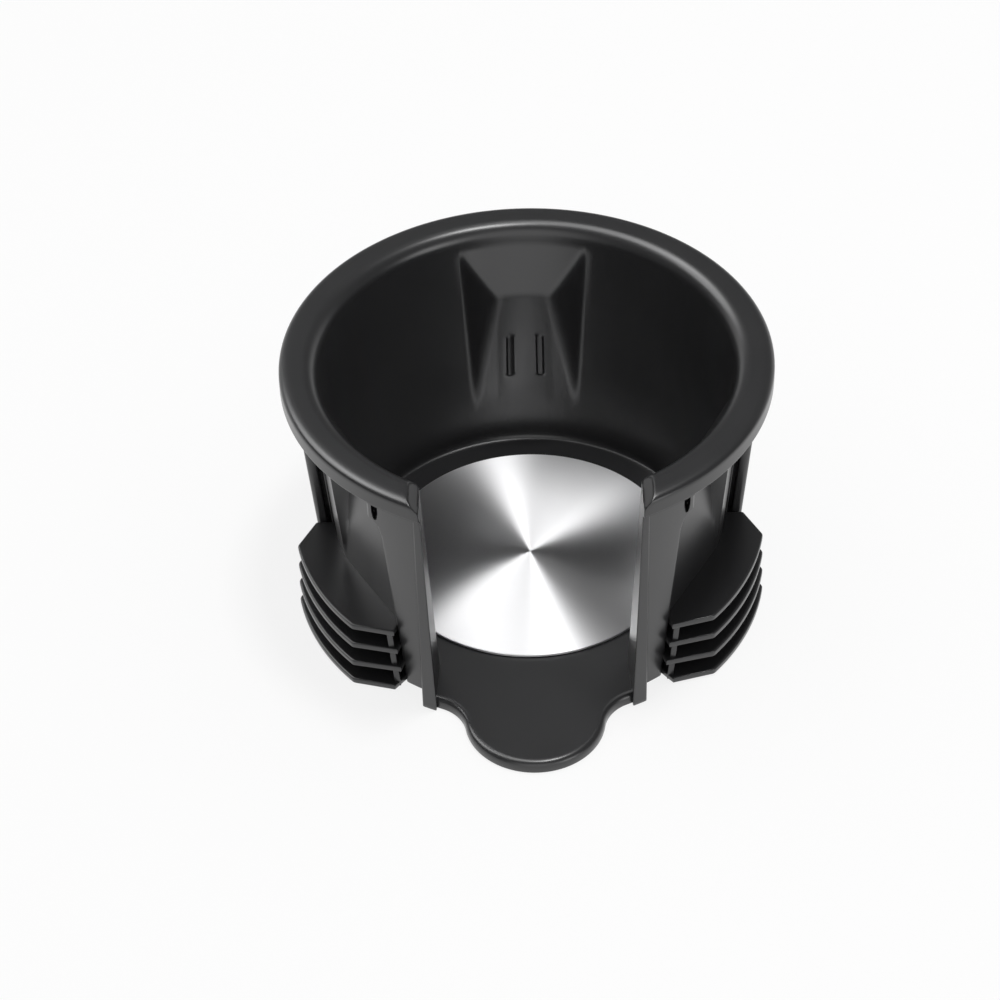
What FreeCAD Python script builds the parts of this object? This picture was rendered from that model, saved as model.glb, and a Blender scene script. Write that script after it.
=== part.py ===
# Car cup holder: a moulded cup, open at the front, with a metal disc on its floor.
# Millimetres. The origin is on the cup's axis at the base plane, +Z up, the open front towards -Y.
import FreeCAD, Part
import math
import os
import re
import Sketcher

SIZES = [
    ("rim_radius", 47.5, "outside of the rim"),
    ("rim_top", 55.0, "height of the rim's top over the base"),
    ("rim_thickness", 2.0, "thickness of the rim's flat ring"),
    ("lip_depth", 4.0, "depth of the turned-down lip"),
    ("lip_wall", 1.9, "thickness of the turned-down lip"),
    ("rim_fall", 1.4, "how far the rim's outer part falls away"),
    ("rim_fall_width", 2.8, "width of the part that falls away"),
    ("rim_throat_break", 2.4, "reach of the two bevels from the rim into the cup"),
    ("cup_floor_radius", 35.95, "inside radius of the cup at its floor"),
    ("wall_taper", 4.67, "taper of the cup's wall in degrees"),
    ("wall_thickness", 1.9, "thickness of the cup's wall"),
    ("floor_thickness", 2.5, "thickness of the floor and the tab"),
    ("floor_corner_break", 0.6, "bevel between floor and wall"),
    ("bump_ridge_radius", 34.5, "distance of a bump's ridge from the axis"),
    ("bump_ridge_height", 41.5, "height of a bump's ridge"),
    ("bump_ridge_half_width", 5.4, "half the width of a bump's ridge"),
    ("bump_ramp_angle", 29.5, "lean of a bump's upper ramp in degrees"),
    ("bump_face_angle", 4.5, "lean of a bump's lower face in degrees"),
    ("bump_side_angle", 66.2, "spread of a bump's sides in degrees"),
    ("bump_side_lean", 2.45, "lean of a bump's sides in degrees"),
    ("bump_edge_round", 0.7, "rounding of a bump's edges"),
    ("grip_width", 1.2, "width of the small ribs on the rear bump"),
    ("grip_spacing", 6.0, "distance between those ribs"),
    ("grip_height", 0.6, "how far those ribs stand proud"),
    ("grip_low", 19.0, "height of those ribs' lower end"),
    ("grip_high", 31.5, "height of those ribs' upper end"),
    ("ear_step", 3.55, "how far the ear panels stand off the wall"),
    ("ear_half_width_low", 24.9, "half the width over both ears at the base"),
    ("ear_half_width_high", 28.1, "half the width over both ears below their shoulders"),
    ("ear_shoulder_half_width", 30.3, "half the width over the ears' shoulders under the lip"),
    ("ear_shoulder_low", 44.0, "height where the ears' shoulders begin"),
    ("ear_shoulder_high", 47.2, "height where the ears' shoulders reach their full width"),
    ("ear_flare_height", 1.9, "height of the ears' flare into the lip"),
    ("lip_ledge", 0.2, "ledge left under the lip outside the flare"),
    ("post_radius", 45.4, "distance of the posts' front faces from the axis"),
    ("post_half_width", 21.7, "half the width over both posts"),
    ("post_round", 0.6, "rounding of the posts' outer edges"),
    ("slot_low_inside", 17.0, "half the slot's width, low and inside"),
    ("slot_low_outside", 20.8, "half the slot's width, low and outside"),
    ("slot_high_inside", 19.7, "half the slot's width, high and inside"),
    ("slot_high_outside", 21.0, "half the slot's width, high and outside"),
    ("slot_top_bevel", 2.0, "bevel where the slot meets the rim's top"),
    ("tab_radius", 13.6, "radius of the finger tab"),
    ("tab_reach", 44.4, "distance of the tab's centre from the axis"),
    ("apron_radius", 44.5, "distance of the floor's front edge from the axis"),
    ("tab_root_round", 7.8, "concave rounding beside the tab"),
    ("tab_edge_break", 0.8, "bevel of the tab's upper edge"),
    ("fin_count", 4, "fins on each side"),
    ("fin_low", 0.3, "height of the lowest fin's underside"),
    ("fin_thickness", 1.3, "thickness of a fin"),
    ("fin_pitch", 4.75, "distance from one fin to the next"),
    ("fin_spread", 0.15, "how much wider each fin is than the one above"),
    ("fin_back_x", 42.55, "rear corner of the top fin, sideways"),
    ("fin_back_y", 3.3, "rear corner of the top fin, forwards"),
    ("fin_tip_x", 46.0, "tip of the top fin, sideways"),
    ("fin_tip_y", 10.0, "tip of the top fin, forwards"),
    ("fin_front_x", 34.8, "front corner of the top fin, sideways"),
    ("fin_front_y", 32.8, "front corner of the top fin, forwards"),
    ("fin_end_x", 26.7, "inner end of the top fin's front edge, sideways"),
    ("fin_end_step", 0.9, "how much nearer the ear each lower fin's front edge runs"),
    ("fin_end_y", 35.0, "inner end of the top fin's front edge, forwards"),
    ("fin_arc_radius", 48.0, "radius of a fin's outer edge"),
    ("fin_corner_round", 0.8, "rounding of a fin's corners in plan"),
    ("web_gap", 1.0, "distance from the ear's edge to the upright web between the fins"),
    ("web_thickness", 1.4, "thickness of that web"),
    ("web_recess", 0.7, "how far the web stays behind the fins' front edge"),
    ("rail_reach", 42.55, "outer face of a side rail at the top fin"),
    ("rail_strip", 1.75, "thickness of a rail's outer strip"),
    ("rail_width", 6.0, "width of a rail"),
    ("rail_neck", 2.0, "thickness of the neck that carries a rail's strip"),
    ("notch_place", 28.95, "middle of the notch under the lip, sideways"),
    ("notch_drop", 0.8, "distance of the notch's top below the ears' flare"),
    ("notch_width", 1.15, "width of that notch"),
    ("notch_height", 3.9, "height of that notch"),
    ("notch_depth", 1.4, "depth of that notch"),
    ("disc_radius", 29.7, "radius of the metal disc"),
    ("disc_thickness", 0.6, "thickness of the metal disc"),
    ("disc_chamfer", 0.12, "bevel of the disc's upper edge"),
    ("film_inset", 0.6, "how far the adhesive film stays inside the disc"),
    ("film_thickness", 0.2, "thickness of the adhesive film"),
]

DEEP = 6.0      # how far a cutter runs past what it cuts
HOLLOW_SHARE = 0.9      # how much of a hollow's ramp is used where it ends below the lip
ALIASES = {name for name, _, _ in SIZES}

doc = FreeCAD.newDocument("CupHolder")


def make_sheet():
    """The sheet of driving sizes: a name, its value and what it is, one per row."""
    table = doc.addObject("Spreadsheet::Sheet", "Sizes")
    for row, (name, number, note) in enumerate(SIZES, start=1):
        table.set(f"A{row}", name)
        table.set(f"B{row}", str(number))
        table.set(f"C{row}", note)
        table.setAlias(f"B{row}", name)
    doc.recompute()
    return table


sheet = make_sheet()


def formula(text):
    """Turn bare size names into references to the sheet."""
    return re.sub(r"[a-z_]+", lambda word: f"Sizes.{word[0]}" if word[0] in ALIASES else word[0], str(text))


def size(text):
    """The present value of a formula over the sizes."""
    return float(sheet.evalExpression(formula(text)))


def bind(thing, **links):
    """Tie properties of an object to formulas over the sizes."""
    for name, text in links.items():
        thing.setExpression(name, formula(text))
    return thing


def add(kind, name, **values):
    """Add a document object and set its plain properties."""
    thing = doc.addObject(kind, name)
    for key, value in values.items():
        setattr(thing, key, value)
    return thing


# Formulas used in several places
UNDER_RIM = "(rim_top - rim_thickness)"
LIP_LOW = "(rim_top - lip_depth)"
TOP_FIN = "(fin_low + fin_thickness + (fin_count - 1) * fin_pitch)"
ARC_SHARE = "0.29"      # a quarter circle's middle lies this share of its radius inside the corner


def inside(height):
    """Inner radius of the tapered wall at a height."""
    return f"(cup_floor_radius + (({height}) - floor_thickness) * tan(wall_taper))"


def outside(height, step="0"):
    """Radius of a cone that stands off the wall's outer face by a step."""
    return f"({inside(height)} + wall_thickness / cos(wall_taper) + {step})"


def middle(height):
    """Radius at half the wall's thickness, where added pieces take root."""
    return f"({inside(height)} + 0.5 * wall_thickness / cos(wall_taper))"


UPRIGHT = FreeCAD.Rotation(FreeCAD.Vector(1, 0, 0), 90)

# The slot's sides spread between these two planes, inside the cup and beyond the rim
SLOT_NEAR = f"({DEEP} - cup_floor_radius)"
SLOT_FAR = "(-(rim_radius + wall_thickness))"


def outline(name, corners, arcs=None, rotation=None, place=None):
    """A closed sketch through corners given as pairs of formulas.

    arcs maps the number of a side to its radius and the hand on which its centre lies: 1 left, -1 right.
    """
    arcs = arcs or {}
    sketch = doc.addObject("Sketcher::SketchObject", name)
    if rotation:
        sketch.Placement.Rotation = rotation
    points = [FreeCAD.Vector(size(x), size(y), 0) for x, y in corners]
    count = len(points)
    heads = []
    for side in range(count):
        first = points[side]
        last = points[(side + 1) % count]
        if side in arcs:
            radius, hand = arcs[side]
            heads.append(add_arc(sketch, first, last, size(radius), hand))
        else:
            sketch.addGeometry(Part.LineSegment(first, last))
            heads.append(1)
    for side, head in enumerate(heads):
        following = (side + 1) % count
        sketch.addConstraint(Sketcher.Constraint("Coincident", side, 3 - head, following, heads[following]))
    for side, (x, y) in enumerate(corners):
        pin(sketch, "DistanceX", side, heads[side], points[side].x, x)
        pin(sketch, "DistanceY", side, heads[side], points[side].y, y)
    for side, (radius, _) in arcs.items():
        number = sketch.addConstraint(Sketcher.Constraint("Radius", side, size(radius)))
        sketch.setExpression(f"Constraints[{number}]", formula(radius))
    for axis, text in (place or {}).items():
        sketch.setExpression(f"Placement.Base.{axis}", formula(text))
    return sketch


def add_arc(sketch, first, last, radius, hand):
    """Add the short arc between two points; say which of its ends is the first point."""
    chord = last - first
    across = FreeCAD.Vector(-chord.y, chord.x, 0).normalize() * hand
    centre = (first + last) * 0.5 + across * math.sqrt(radius ** 2 - (chord.Length / 2) ** 2)
    start, end = (first, last) if hand > 0 else (last, first)
    angles = [math.atan2(point.y - centre.y, point.x - centre.x) for point in (start, end)]
    circle = Part.Circle(centre, FreeCAD.Vector(0, 0, 1), radius)
    sketch.addGeometry(Part.ArcOfCircle(circle, angles[0], angles[1]))
    return 1 if hand > 0 else 2


def pin(sketch, kind, side, end, now, text):
    """Hold one coordinate of a corner at its formula."""
    number = sketch.addConstraint(Sketcher.Constraint(kind, -1, 1, side, end, now))
    sketch.setExpression(f"Constraints[{number}]", formula(text))


def turned(name, section, sweep=360.0, heading=0.0):
    """Turn an upright section about the cup's axis, centred on a heading in degrees."""
    solid = add("Part::Revolution", name, Source=section, Axis=(0, 0, 1), Base=(0, 0, 0), Solid=True,
                Angle=sweep, Symmetric=sweep < 360)
    solid.Placement.Rotation = FreeCAD.Rotation(FreeCAD.Vector(0, 0, 1), heading)
    return solid


def raised(name, sketch, height):
    """Extrude a flat sketch upwards."""
    solid = add("Part::Extrusion", name, Base=sketch, DirMode="Custom", Dir=(0, 0, 1), Solid=True)
    return bind(solid, LengthFwd=height)


def joined(name, shapes):
    return add("Part::MultiFuse", name, Shapes=shapes, Refine=True)


def cut(name, base, tool):
    return add("Part::Cut", name, Base=base, Tool=tool, Refine=True)


def common(name, base, tool):
    return add("Part::Common", name, Base=base, Tool=tool, Refine=True)


def eased(kind, name, base, reach, chosen):
    """Give a Fillet or a Chamfer to the edges of base for which chosen is true."""
    doc.recompute()
    picked = [number for number, edge in enumerate(base.Shape.Edges, start=1) if chosen(edge)]
    if not picked:
        raise ValueError(f"{name}: no edge found to ease")
    amount = size(reach)
    return add(f"Part::{kind}", name, Base=base, Edges=[(number, amount, amount) for number in picked])


def near(one, other, allowance=0.02):
    return abs(one - other) < allowance


def ring_edge(radius, height):
    """A test for a full circle about the axis."""
    reach = size(radius)
    level = size(height)

    def matches(edge):
        point = edge.valueAt(edge.FirstParameter)
        return near(math.hypot(point.x, point.y), reach) and near(point.z, level) and edge.isClosed()
    return matches


def make_cup():
    """The cup itself: floor, tapered wall, flat rim and turned-down lip, turned from one section."""
    section = outline("CupSection", [
        ("0", "0"),
        (outside("0"), "0"),
        (outside(UNDER_RIM), UNDER_RIM),
        ("rim_radius - lip_wall", UNDER_RIM),
        ("rim_radius - lip_wall", LIP_LOW),
        ("rim_radius", LIP_LOW),
        ("rim_radius", "rim_top - rim_fall"),
        (f"rim_radius - {ARC_SHARE} * rim_fall_width", f"rim_top - {ARC_SHARE} * rim_fall"),
        ("rim_radius - rim_fall_width", "rim_top"),
        (f"{inside('rim_top')} + rim_throat_break", "rim_top"),
        (f"{inside('rim_top')} + {ARC_SHARE} * rim_throat_break", f"rim_top - {ARC_SHARE} * rim_throat_break"),
        (inside("rim_top - rim_throat_break"), "rim_top - rim_throat_break"),
        (inside("floor_thickness + floor_corner_break"), "floor_thickness + floor_corner_break"),
        ("cup_floor_radius - floor_corner_break", "floor_thickness"),
        ("0", "floor_thickness"),
    ], rotation=UPRIGHT)
    return turned("Cup", section)


# A bump's upper ramp and lower face meet at its ridge. The hollow behind it is the same form moved outwards
# by the wall's thickness, so the wall stays even. Moving both faces shifts the ridge by these two shares.
SPREAD = "sin(bump_ramp_angle + bump_face_angle)"
RIDGE_OUT = f"((sin(bump_ramp_angle) + sin(bump_face_angle)) / {SPREAD})"
RIDGE_UP = f"((cos(bump_ramp_angle) - cos(bump_face_angle)) / {SPREAD})"


def bump_section(name, step, back, top):
    """The triangle of ramp, face and back that a bump is turned from."""
    ridge = f"(bump_ridge_radius + ({step}) * {RIDGE_OUT})"
    level = f"(bump_ridge_height + ({step}) * {RIDGE_UP})"
    slope = "tan(wall_taper)"
    # where the ramp and the face meet the back line, which runs along the wall
    gap = f"({back(level)} - {ridge})"
    rise = f"({gap} / (tan(bump_ramp_angle) - {slope}))"
    drop = f"({gap} / (tan(bump_face_angle) + {slope}))"
    corners = [(ridge, level), (f"{ridge} + {drop} * tan(bump_face_angle)", f"{level} - {drop}")]
    if top is None:
        corners.append((f"{ridge} + {rise} * tan(bump_ramp_angle)", f"{level} + {rise}"))
    else:
        ceiling = f"min({top}; {level} + {HOLLOW_SHARE} * {rise})"
        corners.append((back(ceiling), ceiling))
        corners.append((f"{ridge} + ({ceiling} - {level}) * tan(bump_ramp_angle)", ceiling))
    return outline(name, corners, rotation=UPRIGHT)


def bump_wedge(name, step):
    """The wedge between a bump's two leaning sides, pointing at the cup's axis."""
    corner = "sqrt(bump_ridge_radius ^ 2 - bump_ridge_half_width ^ 2)"
    depth = f"({corner} * cos(bump_side_lean) - bump_ridge_height * sin(bump_side_lean))"
    start = f"(({step}) - bump_edge_round)"
    end = f"(({step}) + {DEEP})"

    def half_width(along):
        return f"(bump_ridge_half_width - ({step}) / cos(bump_side_angle) + {along} * tan(bump_side_angle))"
    wedge = doc.addObject("Part::Wedge", name)
    bind(wedge, Ymin=f"{depth} + {start}", Ymax=f"{depth} + {end}",
         Xmin=f"-{half_width(start)}", Xmax=half_width(start), X2min=f"-{half_width(end)}", X2max=half_width(end),
         Zmin="0 - rim_top", Zmax="2 * rim_top", Z2min="0 - rim_top", Z2max="2 * rim_top")
    lean = FreeCAD.Rotation(FreeCAD.Vector(0, 1, 0), size("bump_side_lean"))
    wedge.Placement.Rotation = lean * FreeCAD.Rotation(FreeCAD.Vector(0, 0, 1), -90)
    return wedge


BUMP_HEADINGS = (90, 210, 330)


def bump_ring(name, step, back, top=None):
    """Three equal bumps, or the three hollows behind them, evenly spaced about the axis."""
    solid = turned(f"{name}Turned", bump_section(f"{name}Section", step, back, top), sweep=60)
    wedge = bump_wedge(f"{name}Wedge", step)
    ring = []
    form = common(f"{name}Sharp", solid, wedge)
    if top is None:
        form = eased("Fillet", f"{name}Form", form, "bump_edge_round", free_edge())
    for heading in BUMP_HEADINGS:
        one = add("Part::Refine", f"{name}{heading}", Source=form)
        one.Placement.Rotation = FreeCAD.Rotation(FreeCAD.Vector(0, 0, 1), heading)
        ring.append(one)
    return ring


def free_edge():
    """A test for the ridge of a bump and the four edges that run from its ends to the wall."""
    ridge = size("bump_ridge_radius")
    level = size("bump_ridge_height")

    def matches(edge):
        ends = [vertex.Point for vertex in edge.Vertexes]
        return any(near(math.hypot(end.x, end.y), ridge) and near(end.z, level) for end in ends)
    return matches


def make_grips():
    """Two small upright ribs on the lower face of the rear bump."""
    def face(height):
        return f"(bump_ridge_radius + (bump_ridge_height - ({height})) * tan(bump_face_angle))"
    section = outline("GripSection", [
        (f"{face('grip_low')} - grip_height", "grip_low"),
        (f"{face('grip_low')} + grip_height", "grip_low"),
        (f"{face('grip_high')} + grip_height", "grip_high"),
        (f"{face('grip_high')} - grip_height", "grip_high"),
    ], rotation=UPRIGHT)
    ribs = []
    for name, side in (("GripLeft", 1), ("GripRight", -1)):
        heading = 90 + side * math.degrees(math.asin(size("grip_spacing / 2") / size("bump_ridge_radius")))
        rib = turned(name, section, sweep=1, heading=heading)
        ribs.append(bind(rib, Angle="2 * atan(grip_width / 2 / bump_ridge_radius)"))
    return ribs


def make_ears():
    """The panels beside the slot: a cone that stands off the wall and flares into the lip."""
    flare = f"({LIP_LOW} - ear_flare_height)"
    top = f"({UNDER_RIM} + rim_thickness / 4)"
    edge = "rim_radius - lip_ledge"
    section = outline("EarSection", [
        (middle("0"), "0"),
        (outside("0", "ear_step"), "0"),
        (outside(flare, "ear_step"), flare),
        (edge, LIP_LOW),
        (edge, top),
        (middle(top), top),
    ], rotation=UPRIGHT)
    band = turned("EarBand", section, sweep=100, heading=-90)
    edges = [
        ("ear_half_width_low", "0"),
        ("ear_half_width_high", "ear_shoulder_low"),
        ("ear_shoulder_half_width", "ear_shoulder_high"),
        ("ear_shoulder_half_width", "rim_top"),
    ]
    face = outline("EarFace", edges + [(f"-{x}", z) for x, z in reversed(edges)], rotation=UPRIGHT)
    trim = add("Part::Extrusion", "EarTrim", Base=face, DirMode="Custom", Dir=(0, -1, 0), Solid=True)
    return common("Ears", band, bind(trim, LengthFwd="rim_radius"))


def make_posts():
    """The upright posts on both sides of the slot."""
    top = f"({LIP_LOW} - ear_flare_height)"
    section = outline("PostSection", [
        (middle("0"), "0"),
        ("post_radius", "0"),
        ("post_radius", top),
        (middle(top), top),
    ], rotation=UPRIGHT)
    band = turned("PostBand", section, sweep=80, heading=-90)
    # seen from above, a post's inner side runs on in line with the slot
    plan = outline("PostPlan", [
        ("slot_low_inside", SLOT_NEAR),
        ("slot_low_outside", SLOT_FAR),
        ("post_half_width", SLOT_FAR),
        ("post_half_width", SLOT_NEAR),
    ])
    trim = raised("PostTrim", plan, "rim_top")
    post = common("Post", band, trim)
    corner = math.sqrt(size("post_radius") ** 2 - size("post_half_width") ** 2)

    def upright_corner(edge):
        ends = [vertex.Point for vertex in edge.Vertexes]
        at_corner = all(near(end.x, size("post_half_width")) and near(end.y, -corner) for end in ends)
        return at_corner and near(ends[0].x, ends[-1].x)
    rounded = eased("Fillet", "PostRounded", post, "post_round", upright_corner)
    return [rounded, mirrored("PostLeft", rounded)]


def make_tab():
    """The floor's front edge between the posts and the round finger tab, joined by concave corners."""
    far = "(apron_radius + tab_root_round)"
    reach = "(tab_radius + tab_root_round)"
    centre_y = f"(({reach} ^ 2 - {far} ^ 2 - tab_reach ^ 2) / (2 * tab_reach))"
    centre_x = f"sqrt({far} ^ 2 - {centre_y} ^ 2)"
    root = (f"({centre_x} * apron_radius / {far})", f"({centre_y} * apron_radius / {far})")
    flank = (f"({centre_x} * tab_radius / {reach})",
             f"(({centre_y} + tab_reach) * tab_radius / {reach} - tab_reach)")
    side = "(post_half_width - 2 * post_round)"
    side_y = f"(-sqrt(apron_radius ^ 2 - {side} ^ 2))"
    inner = f"(-({middle('floor_thickness')}))"
    sketch = outline("TabOutline", [
        (f"-{side}", inner),
        (f"-{side}", side_y),
        (f"-{root[0]}", root[1]),
        (f"-{flank[0]}", flank[1]),
        flank,
        root,
        (side, side_y),
        (side, inner),
    ], arcs={1: ("apron_radius", 1), 2: ("tab_root_round", -1), 3: ("tab_radius", 1),
             4: ("tab_root_round", -1), 5: ("apron_radius", 1)})
    tab = raised("Tab", sketch, "floor_thickness")
    inner_limit = size(side_y)
    level = size("floor_thickness")

    def upper_rim(edge):
        point = edge.valueAt((edge.FirstParameter + edge.LastParameter) / 2)
        return near(point.z, level) and point.y < inner_limit
    return eased("Chamfer", "TabBevelled", tab, "tab_edge_break", upper_rim)


def fin_corners(level):
    """The corners of one right-hand fin; level 0 is the top fin and each lower one is a little wider.

    The inner end of the front edge turns back into the ear, just behind the ear's front corner.
    """
    wider = f"fin_spread * {level}"
    height = f"({TOP_FIN} - fin_pitch * {level})"
    ear_edge = f"(ear_half_width_low + (ear_half_width_high - ear_half_width_low) * {height} / ear_shoulder_low)"
    ear_front = f"sqrt({outside('0', 'ear_step')} ^ 2 - {ear_edge} ^ 2)"
    return {
        "back": (f"fin_back_x + {wider}", "-fin_back_y"),
        "tip": (f"fin_tip_x + {wider}", "-fin_tip_y"),
        "front": (f"fin_front_x + {wider}", f"-fin_front_y - {wider}"),
        "end": (f"max({ear_edge}; fin_end_x - fin_end_step * {level})", f"-fin_end_y - {wider}"),
        "ear": (f"{ear_edge} - web_thickness", f"web_thickness - {ear_front}"),
    }


def make_fins():
    """The fins of the right side, one above the other, with the upright web that ties them."""
    root = f"(({middle(TOP_FIN)} + {middle('0')}) / 2)"
    limit = size(outside(TOP_FIN, "ear_step"))

    def outer_corner(edge):
        ends = [vertex.Point for vertex in edge.Vertexes]
        along = ends[-1] - ends[0]
        return near(math.hypot(along.x, along.y), 0) and math.hypot(ends[0].x, ends[0].y) > limit
    fins = []
    for level in range(round(size("fin_count"))):
        corners = fin_corners(level)
        root_x = f"({corners['ear'][0]} - web_thickness)"
        sketch = outline(f"FinOutline{level + 1}", [
            (f"sqrt({root} ^ 2 - fin_back_y ^ 2)", "-fin_back_y"),
            (root_x, f"-sqrt({root} ^ 2 - ({root_x}) ^ 2)"),
            corners["ear"],
            corners["end"],
            corners["front"],
            corners["tip"],
            corners["back"],
        ], arcs={0: (root, -1), 4: ("fin_arc_radius", 1)},
            place={"z": f"{TOP_FIN} - fin_thickness - fin_pitch * {level}"})
        fin = raised(f"Fin{level + 1}", sketch, "fin_thickness")
        fins.append(eased("Fillet", f"FinRounded{level + 1}", fin, "fin_corner_round", outer_corner))
    return fins + [make_web()]


def make_web():
    """The upright web between the fins, parallel to the ear's edge."""
    def side(height, step):
        ear_edge = f"ear_half_width_low + (ear_half_width_high - ear_half_width_low) * {height} / ear_shoulder_low"
        return f"({ear_edge} + web_gap + {step})"
    far = side(TOP_FIN, "web_thickness")
    inner = f"(sqrt({middle(TOP_FIN)} ^ 2 - {far} ^ 2) + wall_thickness / 4)"
    face = outline("WebOutline", [
        (side("fin_low", "0"), "fin_low"),
        (side("fin_low", "web_thickness"), "fin_low"),
        (far, TOP_FIN),
        (side(TOP_FIN, "0"), TOP_FIN),
    ], rotation=UPRIGHT, place={"y": f"-{inner}"})
    web = add("Part::Extrusion", "Web", Base=face, DirMode="Custom", Dir=(0, -1, 0), Solid=True)
    return bind(web, LengthFwd=f"fin_end_y - web_recess - {inner}")


def make_rail():
    """The T rail on the right side: an outer strip on a neck, tapered like the wall."""
    def reach(height, step="0"):
        return f"(rail_reach + (({height}) - {TOP_FIN}) * tan(wall_taper) - ({step}))"
    strip_section = outline("RailStripSection", [
        (reach("0", "rail_strip"), "0"),
        (reach("0"), "0"),
        (reach(UNDER_RIM), UNDER_RIM),
        (reach(UNDER_RIM, "rail_strip"), UNDER_RIM),
    ], rotation=UPRIGHT)
    neck_section = outline("RailNeckSection", [
        (middle("0"), "0"),
        (reach("0", "rail_strip / 2"), "0"),
        (reach(UNDER_RIM, "rail_strip / 2"), UNDER_RIM),
        (middle(UNDER_RIM), UNDER_RIM),
    ], rotation=UPRIGHT)
    strip = bind(turned("RailStrip", strip_section, sweep=1), Angle="2 * asin(rail_width / 2 / rail_reach)")
    neck = bind(turned("RailNeck", neck_section, sweep=1), Angle="2 * asin(rail_neck / 2 / rail_reach)")
    return [strip, neck]


def make_slot():
    """The cutter of the open front: narrower inside and low, with bevelled shoulders at the rim."""
    walls = []
    for name, low, high, place in (
            ("SlotInside", "slot_low_inside", "slot_high_inside", SLOT_NEAR),
            ("SlotOutside", "slot_low_outside", "slot_high_outside", SLOT_FAR)):
        shoulder = "(rim_top - slot_top_bevel)"
        edge = f"({high} + slot_top_bevel)"
        walls.append(outline(name, [
            (f"-{low}", "floor_thickness"),
            (low, "floor_thickness"),
            (high, shoulder),
            (edge, "rim_top"),
            (edge, "rim_top + 1"),
            (f"-{edge}", "rim_top + 1"),
            (f"-{edge}", "rim_top"),
            (f"-{high}", shoulder),
        ], rotation=UPRIGHT, place={"y": place}))
    return add("Part::Loft", "Slot", Sections=walls, Solid=True, Ruled=True)


def make_notch():
    """The small pointed notch in the right ear, just under the lip's flare."""
    top = f"({LIP_LOW} - ear_flare_height - notch_drop)"
    half = "notch_width / 2"
    sketch = outline("NotchOutline", [
        (f"notch_place - {half}", top),
        ("notch_place", f"{top} - notch_height"),
        (f"notch_place + {half}", top),
    ], rotation=UPRIGHT)
    notch = add("Part::Extrusion", "Notch", Base=sketch, DirMode="Custom", Dir=(0, -1, 0), Solid=True)
    bind(notch, LengthFwd=str(DEEP))
    surface = f"sqrt({outside(top, 'ear_step')} ^ 2 - notch_place ^ 2)"
    notch.setExpression("Placement.Base.y", formula(f"notch_depth - {surface}"))
    return notch


def mirrored(name, source):
    return add("Part::Mirroring", name, Source=source, Normal=(1, 0, 0), Base=(0, 0, 0))


def make_holder_body():
    """The whole moulding."""
    cup = joined("CupAndBumps", [make_cup()] + bump_ring("Bump", "0", middle) + make_grips())
    hollows = add("Part::Compound", "Hollows",
                  Links=bump_ring("Hollow", "wall_thickness", lambda z: outside(z, "1"), top=LIP_LOW))
    cup = cut("CupWithHollows", cup, hollows)
    side = joined("RightSide", make_fins() + make_rail())
    outer = joined("CupAndOuter", [cup, make_ears(), make_tab(), side, mirrored("LeftSide", side)] + make_posts())
    opened = cut("CupOpened", outer, make_slot())
    notch = make_notch()
    notches = add("Part::Compound", "Notches", Links=[notch, mirrored("NotchLeft", notch)])
    body = cut("holder_body", opened, notches)
    body.Label = "holder_body"
    return body


def make_base_disc():
    """The turned metal disc, with a fine bevel round its face."""
    disc = doc.addObject("Part::Cylinder", "DiscBlank")
    bind(disc, Radius="disc_radius", Height="disc_thickness")
    disc.setExpression("Placement.Base.z", formula("floor_thickness + film_thickness"))
    top = ring_edge("disc_radius", "floor_thickness + film_thickness + disc_thickness")
    return eased("Chamfer", "base_disc", disc, "disc_chamfer", top)


def make_disc_adhesive():
    """The film that holds the disc to the floor."""
    film = doc.addObject("Part::Cylinder", "disc_adhesive")
    bind(film, Radius="disc_radius - film_inset", Height="film_thickness")
    film.setExpression("Placement.Base.z", formula("floor_thickness"))
    return film


def main():
    pieces = [make_holder_body(), make_base_disc(), make_disc_adhesive()]
    for piece in pieces:
        piece.Label = piece.Name
    doc.recompute()
    broken = [thing.Name for thing in doc.Objects if "Invalid" in thing.State or "Error" in thing.State]
    if broken:
        raise RuntimeError(f"objects that failed: {broken}")
    os.makedirs("parts", exist_ok=True)
    for piece in pieces:
        shape = piece.Shape
        if shape.isNull() or not shape.isValid() or len(shape.Solids) != 1:
            raise RuntimeError(f"{piece.Label} is not one valid solid")
        shape.exportStep(f"parts/{piece.Label}.step")
        print(piece.Label, "volume", round(shape.Volume, 1), "box", shape.BoundBox)


main()
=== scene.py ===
# Car cup holder: a moulded cup with an open front, side fins and a turned metal disc on its floor.
# Shapes are worked out in millimetres and scaled to metres when a mesh is made. +Z is up and the open front
# faces -Y.
import math

import bpy
import numpy as np
from mathutils import Matrix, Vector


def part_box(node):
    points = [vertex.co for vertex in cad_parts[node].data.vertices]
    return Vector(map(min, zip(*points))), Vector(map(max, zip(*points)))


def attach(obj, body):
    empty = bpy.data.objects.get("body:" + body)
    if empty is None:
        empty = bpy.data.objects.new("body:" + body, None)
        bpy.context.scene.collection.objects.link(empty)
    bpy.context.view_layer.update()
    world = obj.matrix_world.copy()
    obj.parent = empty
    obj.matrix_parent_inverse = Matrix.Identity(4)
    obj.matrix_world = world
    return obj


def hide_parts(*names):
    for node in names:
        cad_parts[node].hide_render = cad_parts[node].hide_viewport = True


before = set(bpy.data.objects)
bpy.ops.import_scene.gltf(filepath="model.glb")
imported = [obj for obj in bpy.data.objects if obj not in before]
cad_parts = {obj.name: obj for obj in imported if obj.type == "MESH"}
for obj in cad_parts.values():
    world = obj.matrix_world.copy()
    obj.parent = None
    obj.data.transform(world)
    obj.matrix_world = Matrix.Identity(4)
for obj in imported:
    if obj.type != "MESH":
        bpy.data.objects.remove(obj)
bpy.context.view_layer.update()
metre = 0.001
print("frame loaded")


# general shapes

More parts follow.
